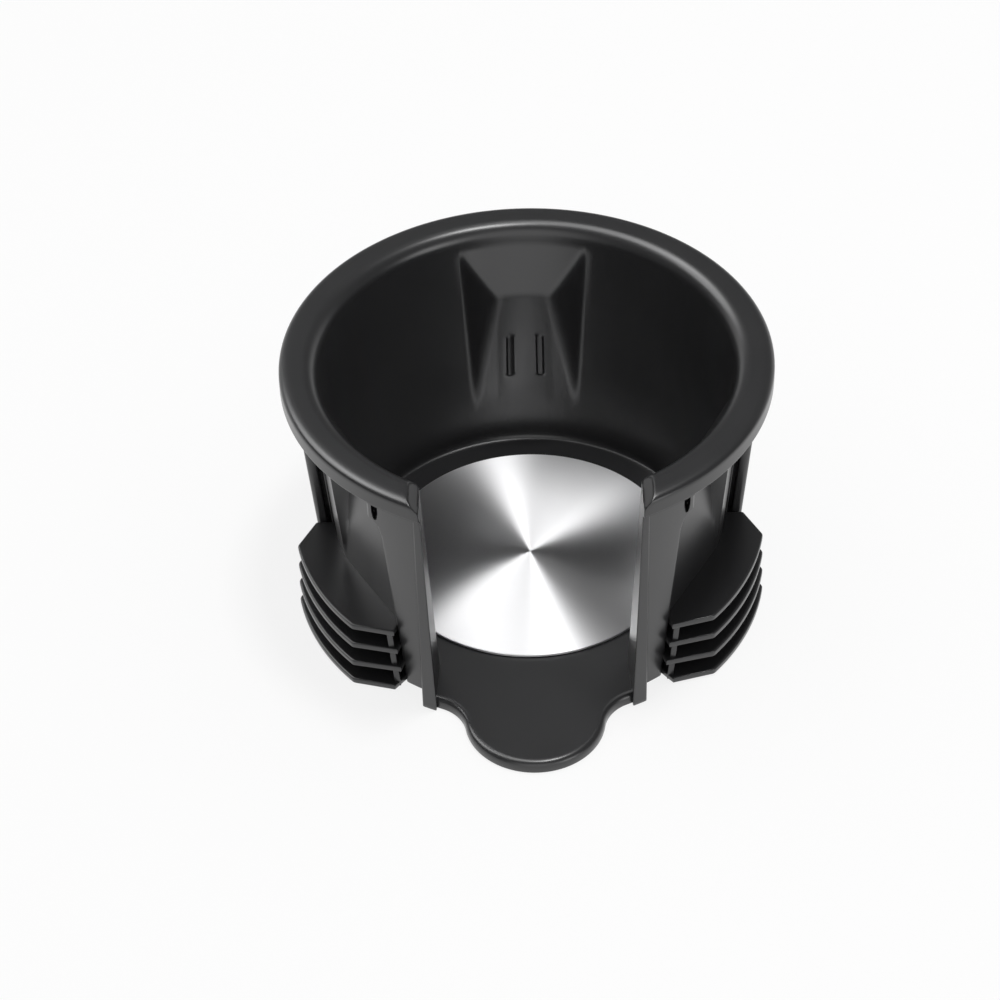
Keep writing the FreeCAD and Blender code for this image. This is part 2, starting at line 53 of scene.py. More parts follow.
def newMesh(name, points, faces, sharpAngle=35.0):
    # turns points in millimetres and faces into a smooth mesh whose edges stay crisp past an angle in degrees
    mesh = bpy.data.meshes.new(name)
    mesh.from_pydata((np.asarray(points, float) * metre).tolist(), [], faces)
    mesh.validate()
    sides = np.zeros(len(mesh.polygons), int)
    mesh.polygons.foreach_get("loop_total", sides)
    mesh.polygons.foreach_set("use_smooth", sides <= 4)          # large end faces are flat
    mesh.set_sharp_from_angle(angle=math.radians(sharpAngle))
    item = bpy.data.objects.new(name, mesh)
    bpy.context.scene.collection.objects.link(item)
    return item


def skinFaces(rows, columns, ladder):
    # Quads between neighbouring rows of closed loops. Each open end is closed by one face, or by a ladder of
    # quads between the loop's two long sides.
    first = np.arange(rows - 1)[:, None] * columns + np.arange(columns)[None, :]
    step = np.roll(np.arange(columns), -1)[None, :] + np.arange(rows - 1)[:, None] * columns
    quads = np.stack([first, step, step + columns, first + columns], axis=-1).reshape(-1, 4)
    ends = [list(range(columns))]
    if ladder:
        rung = np.arange(1, columns // 2 - 1)
        ends = np.stack([rung, rung + 1, columns - rung - 1, columns - rung], axis=1).tolist()
        half = columns // 2
        ends += [[0, 1, columns - 1], [half - 1, half, half + 1]]
    lastRow = (rows - 1) * columns
    lowEnd = [face[::-1] for face in ends]
    highEnd = [[index + lastRow for index in face] for face in ends]
    return quads.tolist() + lowEnd + highEnd


def volumeOf(loops):
    # six times the signed volume of the solid between stacked loops, by the divergence theorem
    here, right = loops[:-1], np.roll(loops[:-1], -1, axis=1)
    above, beyond = loops[1:], np.roll(loops[1:], -1, axis=1)
    total = np.sum(here * (np.cross(right, beyond) + np.cross(beyond, above)))
    for loop, hand in ((loops[0], -1.0), (loops[-1], 1.0)):
        total += hand * np.sum(np.cross(loop, np.roll(loop, -1, axis=0)) * loop.mean(axis=0))
    return total


def skin(loops, ladder=False):
    # points and faces of a closed solid through a stack of closed loops, given as rows x columns x 3
    loops = np.asarray(loops, float)
    if volumeOf(loops) < 0:
        loops = np.roll(loops[:, ::-1], 1, axis=1)
    rows, columns = loops.shape[:2]
    return loops.reshape(-1, 3), skinFaces(rows, columns, ladder)


def together(name, parts):
    # one mesh from several solids
    points, faces, start = [], [], 0
    for partPoints, partFaces in parts:
        points.append(partPoints)
        faces.extend([[index + start for index in face] for face in partFaces])
        start += len(partPoints)
    return newMesh(name, np.concatenate(points), faces)


def otherSide(part):
    # the mirror image of a solid in the plane x = 0, with its faces turned back outwards
    points, faces = part
    return points * np.array([-1.0, 1.0, 1.0]), [face[::-1] for face in faces]


def unit(vectors):
    return vectors / np.linalg.norm(vectors, axis=-1, keepdims=True)


def corner(point, before, after, reach, count=6):
    # a rounded corner: a quarter turn from the incoming to the outgoing direction, both of length reach
    turn = np.linspace(0.0, math.pi / 2, count)[:, None]
    return point - unit(before) * reach * (1 - np.sin(turn)) + unit(after) * reach * (1 - np.cos(turn))


def arcBetween(first, last, radius, count=24):
    # points on the arc of a radius: it bulges to the right of the way from first to last, or to the left when
    # the radius is negative
    chord = last - first
    length = np.linalg.norm(chord)
    across = np.array([-chord[1], chord[0]]) / length
    rise = math.copysign(math.sqrt(radius ** 2 - (length / 2) ** 2), radius)
    centre = (first + last) / 2 + across * rise
    start, end = (math.atan2(*(spot - centre)[::-1]) for spot in (first, last))
    end = start + (end - start + math.pi) % (2 * math.pi) - math.pi
    turn = np.linspace(start, end, count)
    return centre + abs(radius) * np.stack([np.cos(turn), np.sin(turn)], axis=1)


cornerClear = 1.3            # points of a side stay this many times its rounding away from a corner
leastGap = 0.01              # and never come nearer to it than this


def outlineOf(corners, bulges=None):
    # a closed plan outline: corners are (x, y, rounding), and bulges gives some sides a radius by their index
    bulges = bulges or {}
    count = len(corners)
    spots = np.array([entry[:2] for entry in corners], float)
    clear = [max(entry[2] * cornerClear, leastGap) for entry in corners]
    sides = []
    for index in range(count):
        first, last = spots[index], spots[(index + 1) % count]
        if index in bulges:
            sides.append(arcBetween(first, last, bulges[index]))
        else:
            sides.append(np.stack([first, last]))
    path = []
    for index in range(count):
        following = (index + 1) % count
        coming, going = sides[index - 1], sides[index]
        reach = corners[index][2]
        if reach:
            path.append(corner(spots[index], coming[-1] - coming[-2], going[1] - going[0], reach))
        else:
            path.append(spots[index][None])
        kept = np.linalg.norm(going - spots[index], axis=1) > clear[index]
        kept &= np.linalg.norm(going - spots[following], axis=1) > clear[following]
        path.append(going[kept])
    return np.concatenate(path)


def inset(outline, amount):
    # the outline moved inwards by an amount, each corner along the bisector of its two sides
    ahead = unit(np.roll(outline, -1, axis=0) - outline)
    behind = np.roll(ahead, 1, axis=0)
    normals = [np.stack([-side[:, 1], side[:, 0]], axis=1) for side in (behind, ahead)]
    shared = 1 + np.sum(normals[0] * normals[1], axis=1)
    x, y = outline[:, 0], outline[:, 1]
    area = np.sum(x * np.roll(y, -1) - y * np.roll(x, -1))
    return outline + math.copysign(amount, area) * (normals[0] + normals[1]) / shared[:, None]


def plate(outline, low, high, topRound, baseRound, count=5, border=0.25):
    # A flat plate over an outline, its upper and lower edges rolled over in quarter circles. A narrow flat
    # border inside each roll keeps the shading of the flat faces even.
    turn = np.linspace(0.0, math.pi / 2, count)
    rows = [(baseRound + border, low)]
    rows += [(baseRound * (1 - math.sin(t)), low + baseRound * (1 - math.cos(t))) for t in turn]
    rows += [(topRound * (1 - math.cos(t)), high - topRound * (1 - math.sin(t))) for t in turn]
    rows += [(topRound + border, high)]
    loops = []
    for inwards, height in rows:
        flat = inset(outline, inwards)
        loops.append(np.column_stack([flat, np.full(len(flat), height)]))
    return skin(loops)


def smoothMax(one, other, blend):
    # the larger of two fields, with the crease between them rolled over a blend
    share = np.clip(0.5 + 0.5 * (one - other) / blend, 0, 1)
    return other + (one - other) * share + blend * share * (1 - share)


def smoothMin(one, other, blend):
    return -smoothMax(-one, -other, blend)


def softStep(value, width):
    # 0 below zero, 1 above the width, easing in between
    share = np.clip(value / width, 0, 1)
    return share * share * (3 - 2 * share)


# the cup

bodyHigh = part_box("holder_body")[1]
cup = {
    "rimRadius": bodyHigh.x / metre,
    "rimTop": bodyHigh.z / metre,
    "rimThickness": 2.0,
    "lipDepth": 4.0,
    "lipWall": 1.9,
    "throatRound": 3.1,
    "rimFall": 1.4,                      # the rim's outer edge is a full quarter ellipse, this high
    "rimFallWidth": 2.8,
    "rimFullness": 2.8,
    "lipRound": 0.3,
    "floorRadius": 35.95,
    "floorCorner": 0.7,
    "taper": math.radians(4.67),
    "wall": 1.9,
    "floor": 2.5,
    "edgeRound": 0.32,
}
sectionGaps = {                          # how far the flats of the cup's section keep clear of its rounds
    "pastThroat": 0.4,
    "besideFall": 0.2,
    "aboveLip": 0.1,
    "climbLow": 0.25,
    "climbBelow": 0.3,
    "cove": 0.5,                         # the outer skin reaches the rim's underside over this distance
    "coveLow": 0.1,
    "pastCove": 0.7,
    "besideInnerRound": 0.6,
    "innerRound": 0.4,
}
sectionRows = {"foot": 5, "throat": 11, "flat": 3, "fall": 14, "side": 4, "lip": 5}
slotCut = {
    "innerPlane": 29.95,
    "outerPlane": 49.4,
    "lowInside": 18.3,
    "lowOutside": 19.55,
    "highInside": 20.4,
    "highOutside": 20.6,
    "topBevel": 2.0,
    "repeats": 8,
}
bump = {
    "middles": (60.0, 180.0, 300.0),     # degrees round from the open front
    "within": math.radians(30),          # a bump or its hollow stays within this angle of its middle
    "ridgeRadius": 34.5,
    "ridgeHeight": 41.5,
    "ridgeHalf": 5.4,
    "ramp": math.radians(29.5),
    "face": math.radians(4.5),
    "side": math.radians(66.2),
    "lean": math.radians(2.45),
    "dish": 0.25,                        # how far the lower face is hollowed between its sides
    "ridgeRoll": 0.6,
    "sideRoll": 1.1,
    "foot": 0.4,
}
hollow = {
    "ridgeRadius": 36.44,                # distance of the flat face behind a side bump, at its nearest
    "ridgeHeight": 41.07,
    "half": 6.1,                         # from its middle back to its rear side
    "side": 0.8,                         # width of that side's slope
    "leastWall": 0.8,
    "wallEase": 1.6,
    "fillLow": 14.2,                     # the face may stand out from the round wall between these heights
    "fillHigh": 44.0,
    "fillEase": 0.8,
    "roll": 0.5,
}
grip = {
    "spacing": 6.0,
    "width": 1.2,
    "height": 0.45,
    "low": 19.0,
    "high": 31.5,
    "soft": 0.45,                        # width of the slopes at a rib's sides
    "endSoft": 1.35,                     # and at its ends
}
wallRows = {                             # rows up the wall: heights between stretches, and each one's count
    "bounds": (11.0, 19.0, 20.4, 30.2, 31.6, 39.2, 43.8, 50.0),
    "counts": (7, 12, 5, 8, 5, 8, 15, 10, 9),
}
wallColumns = {                          # columns round the wall, in degrees from the open front
    "bounds": (38.5, 79.0, 161.0, 199.0, 281.0, 321.5),
    "pitches": (0.7, 2.0, 0.7, 2.0, 0.7),
}
wallEnd = {                              # points at the wall's ends beside the slot, from its columns inwards
    "lead": 9,
    "turn": 6,
    "cap": 8,
    "capLast": 0.04,                     # share across the wall of the cap's point nearest to the roll
}


def insideRadius(height):
    return cup["floorRadius"] + (height - cup["floor"]) * math.tan(cup["taper"])


def outsideRadius(height):
    return insideRadius(height) + cup["wall"] / math.cos(cup["taper"])


def middleRadius(height):
    return insideRadius(height) + 0.5 * cup["wall"] / math.cos(cup["taper"])


def slotHalf(y, z):
    # half the slot's width: ruled from an inner to an outer outline, widening in a bevel at the rim
    shoulder = cup["rimTop"] - slotCut["topBevel"]
    depth = (-y - slotCut["innerPlane"]) / (slotCut["outerPlane"] - slotCut["innerPlane"])
    rise = np.clip((z - cup["floor"]) / (shoulder - cup["floor"]), 0, 1)
    inner = slotCut["lowInside"] + rise * (slotCut["highInside"] - slotCut["lowInside"])
    outer = slotCut["lowOutside"] + rise * (slotCut["highOutside"] - slotCut["lowOutside"])
    return inner + depth * (outer - inner) + np.clip(z - shoulder, 0, slotCut["topBevel"])


def slotAngle(radius, z):
    # the angle from the front at which the slot's side crosses a circle, found by repeating x = slotHalf(y)
    x = np.full(np.broadcast(radius, z).shape, slotCut["highInside"])
    for _ in range(slotCut["repeats"]):
        x = slotHalf(-np.sqrt(radius ** 2 - x ** 2), z)
    return np.arcsin(x / radius)


def bumpRadius(angle, z, step):
    # Distance of a bump's skin from the axis: the largest of its ramp, its lower face and its two leaning
    # sides. A step moves all of them outwards, square to each face.
    spread = math.sin(bump["ramp"] + bump["face"])
    ridge = bump["ridgeRadius"] + step * (math.sin(bump["ramp"]) + math.sin(bump["face"])) / spread
    level = bump["ridgeHeight"] + step * (math.cos(bump["ramp"]) - math.cos(bump["face"])) / spread
    ramp = ridge + (z - level) * math.tan(bump["ramp"])
    ridgeAngle = math.asin(bump["ridgeHalf"] / bump["ridgeRadius"])
    dish = bump["dish"] * np.clip(1 - (angle / ridgeAngle) ** 2, 0, 1)
    face = ridge + (level - z) * math.tan(bump["face"]) + dish
    edge = math.sqrt(bump["ridgeRadius"] ** 2 - bump["ridgeHalf"] ** 2)
    depth = edge * math.cos(bump["lean"]) - bump["ridgeHeight"] * math.sin(bump["lean"])
    half = bump["ridgeHalf"] - step / math.cos(bump["side"])
    slope = math.tan(bump["side"])
    across = np.cos(angle) * math.cos(bump["lean"]) * slope - np.abs(np.sin(angle))
    side = ((z * math.sin(bump["lean"]) + depth) * slope - half) / across
    return smoothMax(smoothMax(ramp, face, bump["ridgeRoll"]), side, bump["sideRoll"])


def gripHeight(angle, z):
    # how far the two small ribs stand proud of the rear bump
    across = np.abs(angle) * bump["ridgeRadius"] - grip["spacing"] / 2
    edge = softStep(grip["width"] / 2 - np.abs(across) + grip["soft"] / 2, grip["soft"])
    ends = softStep(z - grip["low"], grip["endSoft"]) * softStep(grip["high"] - z, grip["endSoft"])
    return grip["height"] * edge * ends


def withBumps(radius, angle, z, step):
    # presses the three bumps into a round wall, or their hollows when step is the wall's thickness
    rear = bump["middles"][1]
    for middle in bump["middles"]:
        away = (angle - math.radians(middle) + math.pi) % (2 * math.pi) - math.pi
        near = np.abs(away) < bump["within"]
        if step and middle != rear:
            rearwards = np.where(near, away if middle < rear else -away, 0)
            pressed = hollowRadius(radius, rearwards, z, withBumps(insideRadius(z), angle, z, 0))
        else:
            skinRadius = bumpRadius(np.where(near, away, 0), z, step)
            if step == 0 and middle == rear:
                skinRadius = skinRadius - gripHeight(away, z)
            pressed = smoothMin(radius, skinRadius, bump["foot"])
        radius = np.where(near, pressed, radius)
    return radius


def hollowRadius(radius, away, z, inner):
    # The flat face outside a side bump: a distance that grows above and below the ridge, over the cosine of
    # the angle from its middle. It ends in a steep side at the rear and runs on to the ear in front.
    ramp = hollow["ridgeRadius"] + (z - hollow["ridgeHeight"]) * math.tan(bump["ramp"])
    face = hollow["ridgeRadius"] + (hollow["ridgeHeight"] - z) * math.tan(bump["face"])
    flat = smoothMax(ramp, face, hollow["roll"]) / np.cos(away)
    flat = smoothMax(flat, inner + hollow["leastWall"], hollow["wallEase"])
    ease = hollow["fillEase"]
    fill = softStep(z - hollow["fillLow"], ease) * softStep(hollow["fillHigh"] - z, ease)
    flat = np.where(flat > radius, radius + (flat - radius) * fill, flat)
    rear = softStep(radius * np.sin(away) - hollow["half"], hollow["side"])
    return flat + (radius - flat) * rear


def wallHeights():
    # closer together where the bumps and their ribs begin, turn and end
    top = cup["rimTop"] - cup["throatRound"]
    bounds = [cup["floor"] + cup["floorCorner"], *wallRows["bounds"], top]
    stretches = []
    for low, high, count in zip(bounds, bounds[1:], wallRows["counts"]):
        stretches.append(np.linspace(low, high, count, endpoint=high == top))
    return np.concatenate(stretches)


def quarter(centre, radii, start, end, count, fullness=2.0):
    # Points on an arc of a circle or an ellipse in the section, as pairs of distance from the axis and
    # height: each radius times the cosine or sine to the power 2 / fullness. Above 2 the corner is tighter.
    turn = np.radians(np.linspace(start, end, count))
    swing = np.stack([np.cos(turn), np.sin(turn)], axis=1)
    return np.array(centre) + radii * np.sign(swing) * np.abs(swing) ** (2 / fullness)


def cupSections():
    # matching rows: up the inner skin and over the rim, and up the outer skin and down inside the lip
    heights = wallHeights()
    top, rim, under = cup["rimTop"], cup["rimRadius"], cup["rimTop"] - cup["rimThickness"]
    lipLow = top - cup["lipDepth"]
    lean = math.degrees(cup["taper"])
    throat, roll = cup["throatRound"], cup["lipRound"]
    fallWidth, fall = cup["rimFallWidth"], cup["rimFall"]
    throatCentre = (insideRadius(top) + throat * math.tan(math.radians(90 - lean) / 2), top - throat)
    foot = cup["floorCorner"]
    footCentre = (cup["floorRadius"] - foot, cup["floor"] + foot)
    rows, lipTop = sectionRows, lipLow + roll + sectionGaps["aboveLip"]
    flatEnd = rim - fallWidth - sectionGaps["besideFall"]
    flatRun = np.linspace(throatCentre[0] + sectionGaps["pastThroat"], flatEnd, rows["flat"])
    sideRun = np.linspace(top - fall - sectionGaps["besideFall"], lipTop, rows["side"])
    inner = [
        quarter(footCentre, foot, 270, 350, rows["foot"]),
        np.stack([insideRadius(heights), heights], axis=1),
        quarter(throatCentre, throat, 180 - lean, 90, rows["throat"] + 1)[1:],
        np.stack([flatRun, np.full(rows["flat"], top)], axis=1),
        quarter((rim - fallWidth, top - fall), (fallWidth, fall), 90, 0, rows["fall"], cup["rimFullness"]),
        np.stack([np.full(rows["side"], rim), sideRun], axis=1),
        quarter((rim - roll, lipLow + roll), roll, 0, -90, rows["lip"]),
    ]
    inLip, coveStart, innerRound = rim - cup["lipWall"], outsideRadius(under), sectionGaps["innerRound"]
    climb = np.linspace(sectionGaps["climbLow"], heights[0] - sectionGaps["climbBelow"], rows["foot"])
    coveRun = np.linspace(coveStart, coveStart + sectionGaps["cove"], rows["throat"])
    coveRise = np.linspace(heights[-1] + sectionGaps["coveLow"], under, rows["throat"])
    besideRound = sectionGaps["besideInnerRound"]
    underRun = np.linspace(coveStart + sectionGaps["pastCove"], inLip - besideRound, rows["flat"])
    innerRun = np.linspace(under - besideRound, lipTop, rows["side"])
    outer = [
        np.stack([outsideRadius(climb), climb], axis=1),
        np.stack([outsideRadius(heights), heights], axis=1),
        np.stack([coveRun, coveRise], axis=1),
        np.stack([underRun, np.full(rows["flat"], under)], axis=1),
        quarter((inLip - innerRound, under - innerRound), innerRound, 90, 0, rows["fall"]),
        np.stack([np.full(rows["side"], inLip), innerRun], axis=1),
        quarter((inLip + roll, lipLow + roll), roll, 180, 270, rows["lip"]),
    ]
    return np.concatenate(inner), np.concatenate(outer)


def cupColumns():
    # angles round the cup in radians, from near the slot's one edge to near its other edge
    bounds = wallColumns["bounds"]
    steps = [np.arange(*stretch) for stretch in zip(bounds, bounds[1:], wallColumns["pitches"])]
    return np.radians(np.concatenate(steps + [bounds[-1:]]))


def makeWall():
    # Each loop runs along the inner skin from one side of the slot to the other, round the wall's rolled end,
    # back along the outer skin and round the other end. The loops climb the wall, cross the rim and end at
    # the lip.
    inner, outer = cupSections()
    columns = cupColumns()
    first, last = columns[0], columns[-1]
    roll = cup["edgeRound"]
    turn = np.linspace(math.pi / 2, 0, wallEnd["turn"])
    rollDepth, rollAway = roll * (1 - np.cos(turn)), roll * (1 - np.sin(turn))
    # One side of one end, from the middle of its cap round the roll to the first column. Share: of the way to
    # the other skin. Depth: below its own skin. Away: from the slot's side. Lead: of the way to that column.
    lead = np.linspace(0, 1, wallEnd["lead"])[1:-1]
    cap = np.linspace(0.5, wallEnd["capLast"], wallEnd["cap"])
    endShare = np.concatenate([cap, np.zeros(len(turn) + len(lead))])
    endDepth = np.concatenate([0 * cap, rollDepth, np.zeros(len(lead))])
    endAway = np.concatenate([0 * cap, rollAway, np.full(len(lead), roll)])
    endLead = np.concatenate([np.zeros(len(cap) + len(turn)), lead])
    thickness = np.linalg.norm(outer - inner, axis=1)[:, None]

    def placed(share, depth, hand):
        # section points between the two skins; hand 0 counts from the inner skin, 1 from the outer
        weight = np.clip(share + depth / thickness, 0, 0.5)
        weight = weight if hand == 0 else 1 - weight
        return [inner[:, axis, None] * (1 - weight) + outer[:, axis, None] * weight for axis in (0, 1)]

    def endPiece(hand):
        radius, z = placed(endShare[None], endDepth[None], hand)
        edge = slotAngle(radius, z)
        begin = edge + endAway[None] / radius
        return radius, begin + (first - begin) * endLead[None], z

    def sidePiece(hand):
        radius, z = placed(np.zeros((1, len(columns))), np.zeros((1, len(columns))), hand)
        angle = np.broadcast_to(columns[None], radius.shape)
        walled = z[:, :1] < cup["rimTop"] - cup["throatRound"] + leastGap
        walled &= radius[:, :1] < outsideRadius(cup["rimTop"])
        pressed = withBumps(radius, angle, z, cup["wall"] if hand else 0)
        return np.where(walled, pressed, radius), angle, z

    loop = []
    for hand in (0, 1):
        end, side = endPiece(hand), sidePiece(hand)
        right = list(end)
        left = [end[0][:, ::-1], (first + last) - end[1][:, ::-1], end[2][:, ::-1]]
        run = [np.concatenate([right[i], side[i], left[i]], axis=1) for i in range(3)]
        if hand:
            run = [part[:, ::-1][:, 1:-1] for part in run]
        loop.append(run)
    radius, angle, z = (np.concatenate([loop[0][i], loop[1][i]], axis=1) for i in range(3))
    return skin(np.stack([radius * np.sin(angle), -radius * np.cos(angle), z], axis=-1), ladder=True)


# floor and tab

tab = {
    "apronRadius": 44.5,
    "apronHalf": 21.3,
    "radius": 13.6,
    "reach": 44.4,
    "rootRound": 7.8,
    "topRound": 1.2,
    "baseRound": 0.3,
    "insideWall": 0.12,                  # the floor's rim stays this far inside the wall's outer skin
    "points": {"apron": 3, "root": 32, "lobe": 60, "back": 120},
}


def circle(centre, radius, turn):
    return np.array(centre) + radius * np.stack([np.cos(turn), np.sin(turn)], axis=1)


def makeFloor():
    # the floor, the apron between the posts and the round tab, which runs into the apron in two hollow arcs
    points = tab["points"]
    far, reach = tab["apronRadius"] + tab["rootRound"], tab["radius"] + tab["rootRound"]
    rootY = (reach ** 2 - far ** 2 - tab["reach"] ** 2) / (2 * tab["reach"])
    rootX = math.sqrt(far ** 2 - rootY ** 2)
    apronStart = -math.acos(tab["apronHalf"] / tab["apronRadius"])
    apronTurn = np.linspace(apronStart, math.atan2(rootY, rootX), points["apron"])
    rootEnd = math.atan2(-tab["reach"] - rootY, -rootX)
    rootTurn = np.linspace(math.atan2(-rootY, -rootX), rootEnd, points["root"])
    lobeTurn = np.linspace(math.atan2(rootY + tab["reach"], rootX), -math.pi / 2, points["lobe"])
    backRadius = outsideRadius(0.0) - tab["insideWall"]
    backTurn = np.linspace(math.pi / 2, -math.acos(tab["apronHalf"] / backRadius), points["back"])
    half = np.concatenate([
        circle((0, 0), backRadius, backTurn),
        circle((0, 0), tab["apronRadius"], apronTurn),
        circle((rootX, rootY), tab["rootRound"], rootTurn)[1:],
        circle((0, -tab["reach"]), tab["radius"], lobeTurn)[1:],
    ])
    whole = np.concatenate([half, (half * np.array([-1.0, 1.0]))[::-1][1:-1]])
    return plate(whole, 0.0, cup["floor"], tab["topRound"], tab["baseRound"])


# posts and ear panels beside the slot

ear = {
    "step": 3.55,
    "halfLow": 24.9,
    "halfHigh": 28.1,
    "halfShoulder": 30.3,
    "shoulderLow": 42.6,
    "shoulderHigh": 44.4,
    "flare": 1.9,
    "flareEase": 0.12,
    "ledge": 0.02,
    "edgeRound": 0.4,
    "sunk": 0.5,                         # how far its outer edge runs into the hollow's face
    "intoLip": 1.5,
    "fineFrom": 43.0,                    # height from which the rows are closer together, for the notch
    "belowFlare": 0.05,
    "rows": (18, 44, 8),
    "fineShare": 0.62,                   # and the share of its width from which the columns are
    "columns": (14, 30),
}
post = {"radius": 45.4, "half": 21.7, "round": 0.25, "rowsFrom": 1.0, "rows": 26, "columns": 6}
postFoot = {"heights": (0.0, 0.12, 0.3), "drawnIn": (0.3, 0.1, 0.0)}
uprightSide = {"share": 0.9, "points": 5}            # points along the slot's side, up to a share of it
notch = {"place": 28.95, "drop": 0.8, "width": 1.15, "height": 3.9, "depth": 1.4, "soft": 0.14}


def notchDepth(x, z):
    # A narrow arch with its tip down: half its width is w sqrt(1 - u^3) at a share u of the way down. The
    # depth grows over a short way in from the edge.
    top = cup["rimTop"] - cup["lipDepth"] - ear["flare"] - notch["drop"]
    share = np.clip((top - z) / notch["height"], 0, 1)
    flank = notch["width"] / 2 * np.sqrt(1 - share ** 3) - np.abs(x - notch["place"])
    return notch["depth"] * softStep(np.minimum(flank, top - z), notch["soft"])


def columnLoops(heights, radii, halves, outerRoots, outerRound, shares, notched=False):
    # Sections of an upright beside the slot, one per height: out along the slot's side, round its front
    # corner, along the curved front, round the outer corner and straight back into the wall. The shares say
    # where the points of the front lie between its two corners.
    slotRound = cup["edgeRound"]
    alongSide = np.linspace(0, uprightSide["share"], uprightSide["points"])[:, None]
    loops = []
    for z, radius, half, outerRoot in zip(heights, radii, halves, outerRoots):
        root = middleRadius(z)
        back, front = (float(slotAngle(np.array(r), np.array(max(z, cup["floor"])))) for r in (root, radius))
        backSpot = np.array([root * math.sin(back), -root * math.cos(back)])
        frontSpot = np.array([radius * math.sin(front), -radius * math.cos(front)])
        outerSpot = np.array([half, -math.sqrt(radius ** 2 - half ** 2)])
        outer = math.asin(half / radius)
        alongFront, alongOuter = (np.array([math.cos(t), math.sin(t)]) for t in (front, outer))
        nearest, farthest = frontSpot[0] + slotRound * cornerClear, half - outerRound * cornerClear
        across = nearest + (farthest - nearest) * shares
        face = np.full(len(across), float(radius))
        if notched:
            face = face - notchDepth(across, z)
        loop = np.concatenate([
            backSpot + (frontSpot - backSpot) * alongSide,
            corner(frontSpot, frontSpot - backSpot, alongFront, slotRound),
            np.stack([across, -np.sqrt(face ** 2 - across ** 2)], axis=1),
            corner(outerSpot, alongOuter, np.array([0.0, 1.0]), outerRound),
            np.array([[half, -math.sqrt(outerRoot ** 2 - half ** 2)]]),
        ])
        loops.append(np.column_stack([loop, np.full(len(loop), z)]))
    return np.stack(loops)


def earEdge(z):
    # where the ear's outer edge is across: widening upwards, with a shoulder near the top
    heights = [0, ear["shoulderLow"], ear["shoulderHigh"], cup["rimTop"]]
    return np.interp(z, heights, [ear["halfLow"], ear["halfHigh"], ear["halfShoulder"], ear["halfShoulder"]])


def earRoots(heights):
    # how far in the ear's outer edge reaches: just under the flat hollow face beside it
    angle = np.arcsin(earEdge(heights) / middleRadius(heights))
    inner = withBumps(insideRadius(heights), angle, heights, 0)
    away = angle - math.radians(bump["middles"][0])
    face = hollowRadius(outsideRadius(heights), away, heights, inner)
    return np.minimum(middleRadius(heights), face - ear["sunk"])


def makeEar():
    # the panel stands off the wall, widens at its shoulder and flares into the lip
    lipLow = cup["rimTop"] - cup["lipDepth"]
    flare = lipLow - ear["flare"]
    low, fine, last = ear["rows"]
    heights = np.concatenate([
        np.linspace(0.0, ear["fineFrom"], low, endpoint=False),
        np.linspace(ear["fineFrom"], flare - ear["belowFlare"], fine, endpoint=False),
        np.linspace(flare - ear["belowFlare"], lipLow, last, endpoint=False),
        [lipLow, lipLow + ear["intoLip"]],
    ])
    radii = outsideRadius(heights) + ear["step"]
    edge = cup["rimRadius"] - ear["ledge"]
    slope = (edge - outsideRadius(flare) - ear["step"]) / ear["flare"]
    flared = outsideRadius(flare) + ear["step"] + slope * (heights - flare)
    radii = np.minimum(smoothMax(radii, flared, ear["flareEase"]), edge)
    coarse, close = ear["columns"]
    shares = np.concatenate([
        np.linspace(0, ear["fineShare"], coarse, endpoint=False),
        np.linspace(ear["fineShare"], 1, close),
    ])
    halves, roots = earEdge(heights), earRoots(heights)
    return skin(columnLoops(heights, radii, halves, roots, ear["edgeRound"], shares, notched=True))


def makePost():
    # the post at the slot's edge, from the ground up to the ear's flare, its foot drawn in a little
    top = cup["rimTop"] - cup["lipDepth"] - ear["flare"]
    heights = np.concatenate([postFoot["heights"], np.linspace(post["rowsFrom"], top, post["rows"])])
    radii = np.full(len(heights), post["radius"])
    radii[:len(postFoot["drawnIn"])] -= postFoot["drawnIn"]
    halves, shares = np.full(len(heights), post["half"]), np.linspace(0, 1, post["columns"])
    return skin(columnLoops(heights, radii, halves, middleRadius(heights), post["round"], shares))


# fins, webs and rails

fin = {
    "count": 4,
    "low": 0.3,
    "thickness": 1.3,
    "pitch": 4.75,
    "spread": 0.15,
    "back": (42.55, 3.3),
    "tip": (46.0, 10.0),
    "front": (34.8, 32.8),
    "end": (26.7, 35.0),
    "endStep": 0.5,                      # each blade's front end is this much nearer to the slot than the one
    "lowestEnd": -0.4,                   # above, but the lowest blade's end lies off the other way
    "arc": 48.0,
    "cornerRound": 0.4,
    "edgeRound": 0.3,
    "root": 38.0,
    "bite": 0.9,                         # how far a blade runs into the ear
}
web = {"gap": 1.0, "thickness": 1.2, "recess": 0.7, "round": 0.2, "sunk": 0.5, "margin": 0.1, "rows": 8}
rail = {"reach": 42.55, "strip": 2.1, "width": 6.0, "neck": 2.0, "pad": 0.6, "round": 0.3, "frontRound": 0.95}
railFoot = {"heights": (0.0, 0.15), "drawnIn": (0.2, 0.0), "rowsFrom": 0.5, "rows": 30}
finTop = fin["low"] + fin["thickness"] + (fin["count"] - 1) * fin["pitch"]


